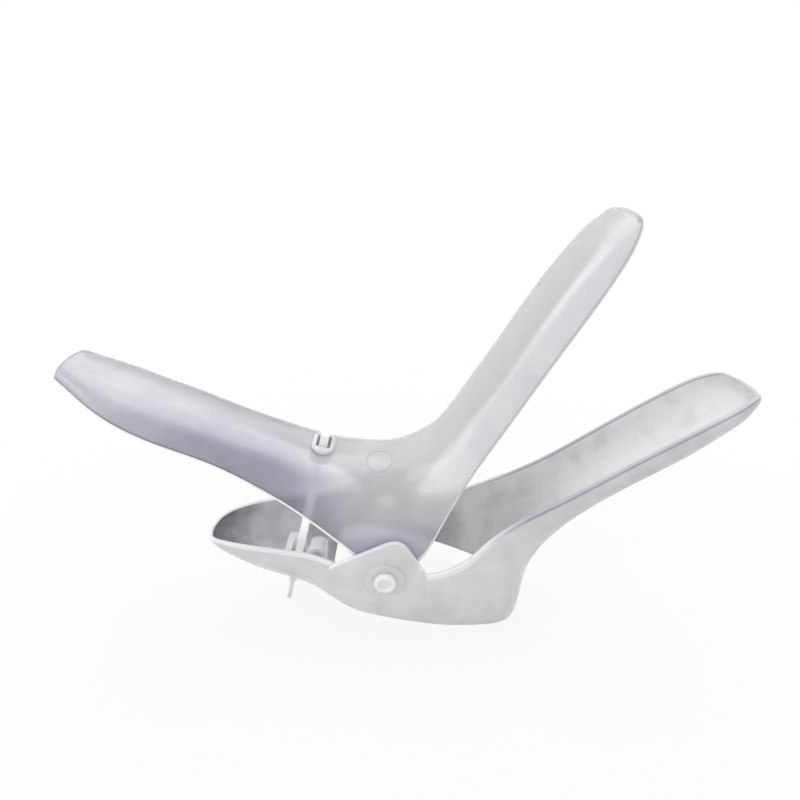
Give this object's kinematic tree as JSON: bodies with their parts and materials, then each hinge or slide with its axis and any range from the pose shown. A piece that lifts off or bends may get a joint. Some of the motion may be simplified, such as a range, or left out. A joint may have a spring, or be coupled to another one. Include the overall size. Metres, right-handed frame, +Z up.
{
  "type": "bivalve speculum",
  "caption": "Disposable two-leaf speculum with hinged lever, open mouth, trough blades and a toothed strut that holds the opening.",
  "frame": {"origin": "middle of the base of the bounding box", "axes": "+X from the handle and lever towards the blades, +Z up, +Y across the leaves"},
  "size_m": [0.1805, 0.0442, 0.1205],
  "materials": {
    "upper_plastic": "milky translucent polypropylene, satin mould finish",
    "lower_plastic": "milky translucent polypropylene, slightly clearer and glossier",
    "strut_plastic": "milky polypropylene, smooth",
    "pin_plastic": "white plastic, smooth"
  },
  "bodies": {
    "lower": {"lower_leaf": "lower_plastic", "pivot_pin_near": "pin_plastic", "pivot_pin_far": "pin_plastic", "guide_block": "strut_plastic"},
    "upper": {"upper_leaf": "upper_plastic", "strut_pin": "pin_plastic"},
    "strut": {"ratchet_strut": "strut_plastic"},
    "tongue": {"release_tongue": "strut_plastic"}
  },
  "joints": [
    {"name": "blade_open", "type": "hinge", "parent": "lower", "child": "upper", "pos_m": [-0.00772, 0, 0.02607], "axis": [0, -1, 0], "range_deg": [-26, 12]},
    {"name": "strut_swing", "type": "hinge", "parent": "upper", "child": "strut", "pos_m": [-0.02522, 0, 0.05747], "axis": [0, -1, 0], "range_deg": [-4.5, 9.5]},
    {"name": "tongue_release", "type": "hinge", "parent": "lower", "child": "tongue", "pos_m": [-0.02729, 0, 0.01587], "axis": [0, 1, 0], "range_deg": [0, 8], "stiffness_Nm_per_rad": 0.02}
  ],
  "couplings": [
    {"joint": "strut_swing", "follows": "blade_open", "ratio": -0.36}
  ]
}
